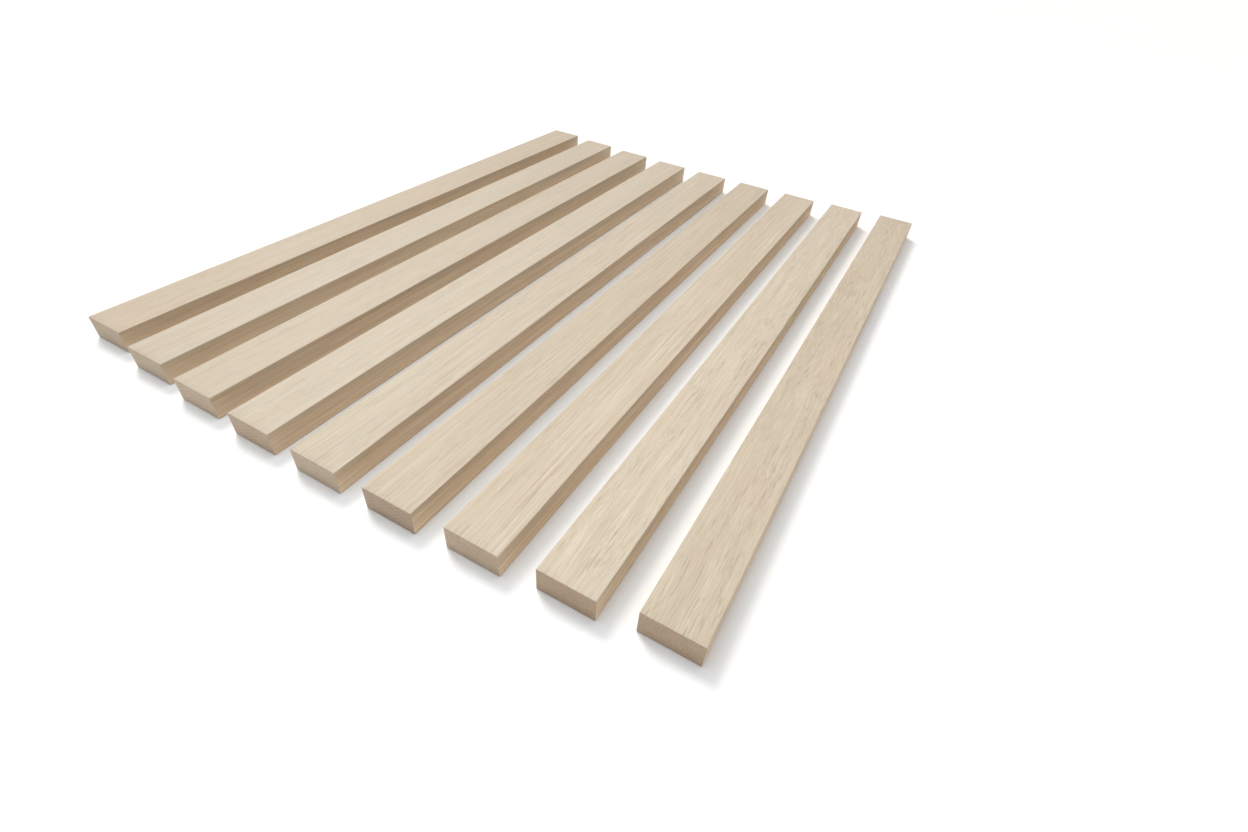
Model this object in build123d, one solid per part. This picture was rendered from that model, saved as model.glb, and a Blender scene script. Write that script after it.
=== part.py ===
"""Acoustic slat panel: straight wooden slats lying side by side, with open gaps between them.

Millimetres. +X runs across the row, +Y along the slats and +Z up off the surface that they
lie on. The origin is the middle of the row's footprint, at the level of the slats' backs.
"""
import os

from build123d import *

# One slat
SLAT_LENGTH = 450.0
SLAT_WIDTH = 27.0
SLAT_THICKNESS = 13.0
ARRIS_RADIUS = 0.5    # the four long edges, eased by sanding
END_CHAMFER = 0.3     # the edges round each square saw cut

# The row
SLAT_COUNT = 9
SLAT_GAP = 15.0       # open air between one slat and the next
ROW_BOW = 10.5        # how far the outermost slats lie behind the middle one

# Worked out from the sizes above
SLAT_PITCH = SLAT_WIDTH + SLAT_GAP
ROW_DEPTH = SLAT_LENGTH + ROW_BOW
STEPS_TO_EDGE = (SLAT_COUNT - 1) / 2


def slat_section():
    """The slat seen end on: a rectangle with eased corners, standing on the surface."""
    return RectangleRounded(SLAT_WIDTH, SLAT_THICKNESS, ARRIS_RADIUS, align=(Align.CENTER, Align.MIN))


def slat():
    """One straight slat, from y = 0 to its full length, cut square at both ends."""
    bar = extrude(Plane.XZ * slat_section(), -SLAT_LENGTH)
    by_length = bar.faces().sort_by(Axis.Y)
    return chamfer(by_length[0].edges() + by_length[-1].edges(), END_CHAMFER)


def place_in_row(number):
    """Where slat 1, 2, 3 and so on lies: evenly spaced in X, on a shallow bow in Y.

    The middle slat lies nearest the front, and the set-back grows with the square of the
    distance from it.
    """
    steps = number - 1 - STEPS_TO_EDGE
    set_back = ROW_BOW * (steps / STEPS_TO_EDGE) ** 2
    return Pos(steps * SLAT_PITCH, set_back - ROW_DEPTH / 2, 0)


os.makedirs("parts", exist_ok=True)
one_slat = slat()
for number in range(1, SLAT_COUNT + 1):
    export_step(place_in_row(number) * one_slat, f"parts/slat_{number}.step")
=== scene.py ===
"""Looks of the slat panel: pale oak slats lying on a white surface in soft studio light."""

import math
from collections import namedtuple

import bpy
import numpy as np
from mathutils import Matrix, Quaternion, Vector, noise


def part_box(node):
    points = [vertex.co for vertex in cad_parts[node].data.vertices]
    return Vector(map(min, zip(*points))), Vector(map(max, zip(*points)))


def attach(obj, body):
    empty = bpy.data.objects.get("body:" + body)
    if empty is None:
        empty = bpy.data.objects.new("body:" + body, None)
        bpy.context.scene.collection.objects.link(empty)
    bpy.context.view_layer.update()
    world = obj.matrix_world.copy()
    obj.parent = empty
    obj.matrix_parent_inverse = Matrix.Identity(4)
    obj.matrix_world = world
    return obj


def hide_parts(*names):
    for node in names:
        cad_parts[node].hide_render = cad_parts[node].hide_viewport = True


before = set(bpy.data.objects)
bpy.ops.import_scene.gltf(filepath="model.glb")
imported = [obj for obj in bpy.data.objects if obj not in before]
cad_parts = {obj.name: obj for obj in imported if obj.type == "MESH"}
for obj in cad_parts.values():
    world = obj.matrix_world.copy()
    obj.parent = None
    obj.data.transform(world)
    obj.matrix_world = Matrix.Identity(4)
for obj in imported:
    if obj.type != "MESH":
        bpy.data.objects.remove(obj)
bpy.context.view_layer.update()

MM = 0.001
SLATS = sorted(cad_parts)

# Camera: close, wide, from the front right and above
CAMERA_AT = Vector((0.1937, -0.3344, 0.2091))
CAMERA_AIM = Vector((0.0914, -0.1147, 0.0))
CAMERA_ROLL = math.radians(6.03)
CAMERA_LENS = 17.57      # mm
SENSOR_WIDTH = 36        # mm
CAMERA_NEAR = 0.01       # anything closer isn't drawn

# Light: an even white room, a large softbox from the back left, a lamp over the near ends
WORLD_COLOUR = (0.985, 0.990, 1.0)
WORLD_STRENGTH = 0.75
SUN_FROM = Vector((-0.72, 0.49, 1.0))
SUN_COLOUR = (1.0, 0.935, 0.870)
SUN_STRENGTH = 2.10
SUN_ANGLE = math.radians(23)
LAMP_AT = Vector((0.0, -0.15, 0.60))
LAMP_AIM = Vector((0.0, -0.15, 0.0))
LAMP_COLOUR = (0.86, 0.96, 1.0)
LAMP_SIZE = 0.4
LAMP_POWER = 1.12

FLOOR_SIZE = 40.0
FLOOR_COLOUR = (0.84, 0.84, 0.84)
FLOOR_ROUGHNESS = 0.9
FLOOR_SPECULAR = 0.1

# Slat shape, finer than the solids that it stands for
ARRIS_RADIUS = 0.5 * MM
END_RADIUS = 0.3 * MM
EDGE_STEPS = 4
ACROSS_STEP = 0.45 * MM
ALONG_STEP = 4.0 * MM
FURROW_DEPTH = 0.05 * MM
FURROW_SWING = 0.35      # how far fine or broad furrows move the surface, as a share of the depth
FINE_FURROW = (0.9, 45)  # mm across and along
BROAD_FURROW = (2.6, 90)
CALM_EDGE = 2.5 * MM     # the furrows die out this close to an arris

# Wood colours, linear
PALE = (0.503, 0.445, 0.352)
WARM = (0.438, 0.370, 0.282)
PORE = (0.215, 0.165, 0.115)
WOOD_ROUGHNESS = 0.58
PORE_ROUGHNESS = 0.72
WOOD_SPECULAR = 0.35
PORE_DEPTH = 0.03 * MM

# Factors on those colours, for some patches and for each kind of face
BLUSH = (1.022, 0.993, 0.975)
# Painted light: the right side is painted lighter than the tops, standing in for light that falls on it
RIGHT_PAINTED_LIGHT = (1.29, 1.155, 1.01)
LEFT_TINT = (1.0, 0.985, 0.96)
END_TINT = (0.96, 0.87, 0.80)
# Painted light: a cool cast on the rounded edges that offsets the warm light they catch
EDGE_PAINTED_COOLING = (0.97, 1.00, 1.03)
RING_SHADE = (0.45, 0.36, 0.27)
RAY_SHADE = (1.25, 1.20, 1.10)

# Painted light and shade over a face's height: two heights in mm above the slat's middle, and the factor at
# each
# Painted light on the right side: darker near its top and paler towards its foot, as light bounced off the
# floor would make it
RIGHT_PAINTED_FADE = (6.0, -5.0, 0.855, 1.175)
# Painted shade on the ends: darker towards their foot, where they meet the floor
END_PAINTED_SHADE = (-1.0, -5.5, 1.0, 0.88)

RING_WIDTH = 1.9         # mm
RAYS_PER_RADIAN = 160.0
END_RINGS = 0.14         # how strongly the year rings show on a cut end
END_RAYS = 0.10
SOLID_STEP = (37.0, 211.0, 19.0)    # mm in the solid texture from one slat to the next
MOST = (0.35, 0.65)      # most values of a noise lie between these

# Features of the grain: size in mm across and along the fibres, and how detailed their noise is
GRAIN = {
    "bend": (24, 130, 1.0),
    "wave": (14, 26, 0.0),
    "blush": (7, 40, 2.0),
    "zone": (8, 70, 0.0),
    "band": (5, 220, 2.0),
    "streak": (1.2, 100, 1.0),
    "thread": (0.45, 45, 1.0),
    "fleck": (0.6, 1.4, 1.0),
    "mottle": (1.1, 6.0, 1.0),
    "pore": (0.55, 14, 1.0),
    "pit": (0.25, 4.0, 0.0),
}

# What sets one slat apart: the tone and warmth of all its wood, the tone of its right side, the tone and
# warmth of its ends, how strongly its bands, streaks and finer lines show, how far its fibres bend and wave
# in mm, and where its pith lies in mm (across, up). The tones are partly the slat's own and partly painted
# light: the wood darker on the left slats and lighter on the right, the ends the other way round, and the
# right side's tone is part of that side's painted light
Look = namedtuple("Look", "tone warmth side end bands streaks rings threads pores wander wave pith")
LOOKS = {
    "slat_1": Look(0.943, 1.022, 0.89, (1.10, 0.955), 0.40, 0.30, 0.05, 0.15, 0.15, 3.0, 0.4, (-30, -110)),
    "slat_2": Look(0.998, 0.990, 0.94, (1.08, 0.975), 0.40, 0.30, 0.05, 0.15, 0.15, 3.0, 0.4, (-35, -100)),
    "slat_3": Look(0.991, 0.999, 0.89, (1.12, 0.990), 0.40, 0.32, 0.05, 0.16, 0.16, 3.0, 0.4, (40, -110)),
    "slat_4": Look(1.036, 0.989, 0.93, (0.96, 1.026), 0.45, 0.35, 0.05, 0.18, 0.18, 3.0, 0.4, (45, -95)),
    "slat_5": Look(1.084, 0.988, 0.97, (1.07, 0.978), 0.60, 0.70, 0.06, 0.33, 0.22, 3.0, 0.4, (-40, -100)),
    "slat_6": Look(1.046, 1.001, 1.01, (0.88, 1.010), 0.60, 0.70, 0.06, 0.33, 0.22, 3.0, 0.4, (60, -90)),
    "slat_7": Look(1.120, 0.998, 0.95, (1.00, 0.985), 0.75, 0.90, 0.08, 0.36, 0.24, 2.0, 0.3, (-50, -90)),
    "slat_8": Look(1.150, 0.988, 0.97, (0.82, 1.040), 0.45, 0.55, 0.07, 0.32, 0.40, 3.0, 1.2, (30, -120)),
    "slat_9": Look(1.068, 1.002, 0.97, (0.91, 1.018), 0.45, 0.45, 0.08, 0.28, 0.42, 3.5, 2.0, (-12, -80)),
}


def lattice(low, high, step, radius):
    """Even positions from low to high, with finer ones over the rounded edge at both ends."""
    turn = np.linspace(0, math.pi / 2, EDGE_STEPS + 1)[:-1]
    edge = radius * (1 - np.cos(turn))
    count = max(1, round((high - low - 2 * radius) / step))
    middle = np.linspace(low + radius, high - radius, count + 1)
    return np.concatenate([low + edge, middle, high - edge[::-1]])


def furrow(point, seed, calm):
    """How deep the surface lies under the flat face at a point: long shallow furrows along Y."""
    x, y, z = point / MM
    width, length = FINE_FURROW
    fine = noise.noise((x / width + seed, y / length, z / width))
    width, length = BROAD_FURROW
    broad = noise.noise((x / width - seed, y / length, z / width + seed))
    return FURROW_DEPTH * (0.5 + calm * FURROW_SWING * (fine + broad))


def build_slat(name, low, high, seed):
    """A slat with rounded edges and furrowed faces, inside the box from low to high."""
    xs = lattice(low.x, high.x, ACROSS_STEP, ARRIS_RADIUS)
    ys = lattice(low.y, high.y, ALONG_STEP, END_RADIUS)
    zs = lattice(low.z, high.z, ACROSS_STEP, ARRIS_RADIUS)
    shape = (len(xs), len(ys), len(zs))
    grid = np.arange(np.prod(shape)).reshape(shape)

    # Six sheets of the grid, each turned to face outwards, share the points on their seams
    sheets = (grid[0], grid[-1, ::-1], grid[:, 0, ::-1], grid[:, -1], grid[..., 0], grid[::-1, :, -1])
    quads = np.concatenate([
        np.stack([s[:-1, :-1], s[:-1, 1:], s[1:, 1:], s[1:, :-1]], -1).reshape(-1, 4) for s in sheets])
    used, faces = np.unique(quads, return_inverse=True)
    i, j, k = np.unravel_index(used, shape)
    points = np.stack([xs[i], ys[j], zs[k]], -1)

    # Each point is set over the nearest one of a smaller box, at the radius less the furrow
    radii = np.array([ARRIS_RADIUS, END_RADIUS, ARRIS_RADIUS])
    core = np.clip(points, np.array(low) + radii, np.array(high) - radii)
    out = (points - core) / radii
    out /= np.linalg.norm(out, axis=1, keepdims=True)
    inside = np.sort(np.minimum(points - np.array(low), np.array(high) - points), axis=1)[:, 1]
    calm = np.clip(inside / CALM_EDGE, 0, 1)
    depth = np.array([furrow(p, seed, c) for p, c in zip(points, calm)])
    points = core + out * (radii - depth[:, None])

    mesh = bpy.data.meshes.new(name)
    mesh.from_pydata(points.tolist(), [], faces.reshape(-1, 4).tolist())
    mesh.polygons.foreach_set("use_smooth", [True] * len(mesh.polygons))
    mesh.validate()
    return mesh


class Graph:
    """Short ways to add shader nodes to one material."""

    def __init__(self, name):
        self.material = bpy.data.materials.new(name)
        self.material.use_nodes = True
        self.tree = self.material.node_tree
        self.shader = self.tree.nodes["Principled BSDF"]

    def plug(self, value, socket):
        if isinstance(value, bpy.types.NodeSocket):
            self.tree.links.new(value, socket)
        else:
            socket.default_value = value

    def node(self, kind, inputs, **settings):
        made = self.tree.nodes.new(kind)
        for key, value in settings.items():
            setattr(made, key, value)
        for key, value in inputs.items():
            self.plug(value, made.inputs[key])
        return made

    def math(self, operation, first, second=0.0):
        return self.node("ShaderNodeMath", {0: first, 1: second}, operation=operation).outputs[0]

    def vector(self, operation, first, second):
        return self.node("ShaderNodeVectorMath", {0: first, 1: second}, operation=operation).outputs[0]

    def parts(self, vector):
        return self.node("ShaderNodeSeparateXYZ", {0: vector}).outputs

    def noise(self, place, detail, output="Fac"):
        inputs = {"Vector": place, "Scale": 1.0, "Detail": detail}
        return self.node("ShaderNodeTexNoise", inputs).outputs[output]

    def grain(self, feature, place, output="Fac"):
        """Noise of a feature's size in GRAIN, in a place that is counted in mm."""
        across, along, detail = GRAIN[feature]
        return self.noise(self.vector("DIVIDE", place, (across, along, across)), detail, output)

    def remap(self, value, low, high, to_low=0.0, to_high=1.0, smooth=False):
        inputs = {"Value": value, "From Min": low, "From Max": high, "To Min": to_low, "To Max": to_high}
        kind = "SMOOTHSTEP" if smooth else "LINEAR"
        return self.node("ShaderNodeMapRange", inputs, interpolation_type=kind).outputs["Result"]

    def mix(self, factor, first, second, blend="MIX"):
        made = self.node("ShaderNodeMix", {"Factor": factor}, data_type="RGBA", blend_type=blend)
        self.plug(first, made.inputs["A"])
        self.plug(second, made.inputs["B"])
        return made.outputs["Result"]

    def times(self, first, second):
        """One colour multiplied by another, or by a number."""
        return self.mix(1.0, first, second, "MULTIPLY")


def rgba(colour):
    return (*colour, 1.0)


def cast(tone, warmth):
    """A factor that makes a colour lighter by its tone, and redder and less blue by its warmth."""
    return rgba((tone * warmth, tone, tone / warmth))


def stray(g, place, feature, reach):
    """How far a bend or a wave sets the fibres off sideways: half of reach in mm at the very most."""
    swing = g.vector("SUBTRACT", g.grain(feature, place, "Color"), (0.5,) * 3)
    return g.vector("MULTIPLY", swing, (reach, 0, reach))


def late_wood(g, from_pith):
    """The darker part of each year ring, which ends sharply where the next year starts."""
    radius = g.node("ShaderNodeVectorMath", {0: from_pith}, operation="LENGTH").outputs["Value"]
    year = g.math("FRACT", g.math("DIVIDE", radius, RING_WIDTH))
    return g.math("MULTIPLY", g.remap(year, 0.45, 0.90, smooth=True), g.remap(year, 0.94, 1.0, 1.0, 0.0))


def rays(g, from_pith):
    """Thin pale lines that run out from the pith, as the wood rays do on a cross cut."""
    parts = g.parts(from_pith)
    turn = g.math("MULTIPLY", g.math("ARCTAN2", parts["X"], parts["Z"]), RAYS_PER_RADIAN)
    fan = g.node("ShaderNodeCombineXYZ", {"X": turn, "Y": 0.5, "Z": 0.5}).outputs["Vector"]
    return g.remap(g.noise(fan, 2.0), 0.58, 0.70, smooth=True)


def face_tints(g, colour, place, streak, late, from_pith, look):
    """The wood's colour on the upper face and back, changed for the sides, the cut ends and the edges; the
    right side and the edges get painted light, and the ends' foot gets painted shade.
    """
    facing = g.parts(g.node("ShaderNodeNewGeometry", {}).outputs["Normal"])
    across, along, up = (g.math("ABSOLUTE", facing[axis]) for axis in "XYZ")
    flattest = g.math("MAXIMUM", g.math("MAXIMUM", across, along), up)
    height = g.parts(place)["Z"]

    # The right side is streaked, and painted light makes it lighter, darker near its top and paler towards
    # its foot;
    # the left side is plain
    lines = g.math("MULTIPLY", g.remap(streak, *MOST, 1.065, 0.935), look.side)
    right = g.times(rgba(RIGHT_PAINTED_LIGHT), g.math("MULTIPLY", g.remap(height, *RIGHT_PAINTED_FADE), lines))
    side = g.mix(g.remap(facing["X"], -0.2, 0.2), rgba(LEFT_TINT), right)

    # The ends show rings and rays, and painted shade darkens them towards their foot, where they meet the
    # floor
    # The end's tone is partly painted light: lighter on the left slats, darker on the right
    end = g.times(rgba(END_TINT), cast(*look.end))
    end = g.times(end, g.remap(height, *END_PAINTED_SHADE, smooth=True))
    end = g.mix(g.math("MULTIPLY", late, END_RINGS), end, rgba(RING_SHADE))
    end = g.mix(g.math("MULTIPLY", rays(g, from_pith), END_RAYS), end, rgba(RAY_SHADE))

    colour = g.mix(g.remap(across, 0.5, 0.9), colour, g.times(colour, side))
    colour = g.mix(g.remap(along, 0.5, 0.9), colour, g.times(colour, end))
    # Painted light: the rounded edges get a cool cast that offsets the warm light they catch
    return g.mix(g.remap(flattest, 0.95, 0.80), colour, g.times(colour, rgba(EDGE_PAINTED_COOLING)))


def oak(number, centre, look):
    """Pale oak as a solid texture: year rings, pores and fibres that run along Y through the slat."""
    g = Graph(f"oak_{number}")
    place = g.node("ShaderNodeTexCoord", {}).outputs["Object"]
    place = g.vector("SUBTRACT", place, centre)
    place = g.vector("MULTIPLY", place, (1 / MM,) * 3)
    apart = g.vector("ADD", place, tuple(step * number for step in SOLID_STEP))

    # The fibres wander in long bends and in small waves, and the rings about the pith with them
    drift = g.vector("ADD", stray(g, apart, "bend", look.wander), stray(g, apart, "wave", look.wave))
    fibre = g.vector("ADD", apart, drift)
    from_pith = g.vector("SUBTRACT", g.vector("ADD", place, drift), (look.pith[0], 0, look.pith[1]))
    from_pith = g.vector("MULTIPLY", from_pith, (1, 0, 1))
    late = late_wood(g, from_pith)

    # Long pores and short pits, which some zones have more of
    zone = g.remap(g.grain("zone", fibre), 0.38, 0.62, 0.45, 1.0)
    pore = g.remap(g.grain("pore", fibre), 0.58, 0.67, smooth=True)
    pit = g.remap(g.grain("pit", fibre), 0.55, 0.70, 0.0, 0.45, smooth=True)
    pore = g.math("MULTIPLY", g.math("MAXIMUM", pore, pit), zone)

    # From the broadest warm bands down to the finest dark lines
    streak = g.grain("streak", fibre)
    thread = g.grain("thread", fibre)
    middle, spread = 0.45, 0.45 * look.bands
    band = g.remap(g.grain("band", fibre), *MOST, middle - spread, middle + spread)
    colour = g.mix(band, rgba(PALE), rgba(WARM))
    colour = g.mix(g.remap(streak, *MOST, 0.0, look.streaks), colour, rgba(WARM))
    colour = g.mix(g.remap(g.grain("fleck", fibre), *MOST, 0.0, 0.20), colour, rgba(WARM))
    colour = g.mix(g.remap(g.grain("mottle", fibre), *MOST, 0.0, look.pores), colour, rgba(WARM))
    colour = g.mix(g.remap(g.grain("blush", apart), *MOST), colour, g.times(colour, rgba(BLUSH)))
    colour = g.mix(g.math("MULTIPLY", late, look.rings), colour, rgba(PORE))
    colour = g.mix(g.remap(thread, 0.35, 0.75, 0.0, look.threads), colour, rgba(PORE))
    colour = g.mix(g.math("MULTIPLY", pore, look.pores), colour, rgba(PORE))

    colour = face_tints(g, colour, place, streak, late, from_pith, look)
    # The slat's tone is partly painted light: darker on the left slats, lighter on the right
    g.plug(g.times(colour, cast(look.tone, look.warmth)), g.shader.inputs["Base Color"])

    relief = g.math("ADD", g.math("MULTIPLY", thread, 0.5), pore)
    bump = g.node("ShaderNodeBump", {"Strength": 1.0, "Distance": -PORE_DEPTH, "Height": relief})
    g.plug(bump.outputs["Normal"], g.shader.inputs["Normal"])
    g.plug(g.remap(pore, 0.0, 1.0, WOOD_ROUGHNESS, PORE_ROUGHNESS), g.shader.inputs["Roughness"])
    g.shader.inputs["Specular IOR Level"].default_value = WOOD_SPECULAR
    return g.material


def add_slats():
    for number, node in enumerate(SLATS, start=1):
        low, high = (Vector(corner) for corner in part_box(node))
        name = f"oak_{node}"
        piece = bpy.data.objects.new(name, build_slat(name, low, high, seed=10.0 * number))
        bpy.context.scene.collection.objects.link(piece)
        piece.data.materials.append(oak(number, (low + high) / 2, LOOKS[node]))
        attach(piece, "root")
        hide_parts(node)


def add_floor():
    half = FLOOR_SIZE / 2
    corners = [(-half, -half, 0), (half, -half, 0), (half, half, 0), (-half, half, 0)]
    mesh = bpy.data.meshes.new("floor")
    mesh.from_pydata(corners, [], [(0, 1, 2, 3)])
    g = Graph("white_floor")
    g.shader.inputs["Base Color"].default_value = rgba(FLOOR_COLOUR)
    g.shader.inputs["Roughness"].default_value = FLOOR_ROUGHNESS
    g.shader.inputs["Specular IOR Level"].default_value = FLOOR_SPECULAR
    mesh.materials.append(g.material)
    floor = bpy.data.objects.new("floor", mesh)
    bpy.context.scene.collection.objects.link(floor)


def add_lamp(name, kind, at, aim, **settings):
    data = bpy.data.lights.new(name, kind)
    for key, value in settings.items():
        setattr(data, key, value)
    lamp = bpy.data.objects.new(name, data)
    lamp.location = at
    lamp.rotation_euler = (aim - at).to_track_quat("-Z", "Y").to_euler()
    bpy.context.scene.collection.objects.link(lamp)


def add_light():
    world = bpy.data.worlds.new("studio")
    world.use_nodes = True
    background = world.node_tree.nodes["Background"]
    background.inputs["Color"].default_value = rgba(WORLD_COLOUR)
    background.inputs["Strength"].default_value = WORLD_STRENGTH
    bpy.context.scene.world = world
    add_lamp("softbox", "SUN", SUN_FROM, Vector((0, 0, 0)),
             energy=SUN_STRENGTH, angle=SUN_ANGLE, color=SUN_COLOUR)
    add_lamp("near_lamp", "AREA", LAMP_AT, LAMP_AIM,
             energy=LAMP_POWER, color=LAMP_COLOUR, shape="DISK", size=LAMP_SIZE)


def add_camera():
    data = bpy.data.cameras.new("camera")
    data.lens = CAMERA_LENS
    data.sensor_width = SENSOR_WIDTH
    data.clip_start = CAMERA_NEAR
    camera = bpy.data.objects.new("camera", data)
    camera.location = CAMERA_AT
    level = (CAMERA_AIM - CAMERA_AT).to_track_quat("-Z", "Y")
    camera.rotation_euler = (level @ Quaternion((0, 0, 1), CAMERA_ROLL)).to_euler()
    bpy.context.scene.collection.objects.link(camera)
    bpy.context.scene.camera = camera


add_slats()
add_floor()
add_light()
add_camera()
bpy.context.scene.view_settings.view_transform = "Standard"
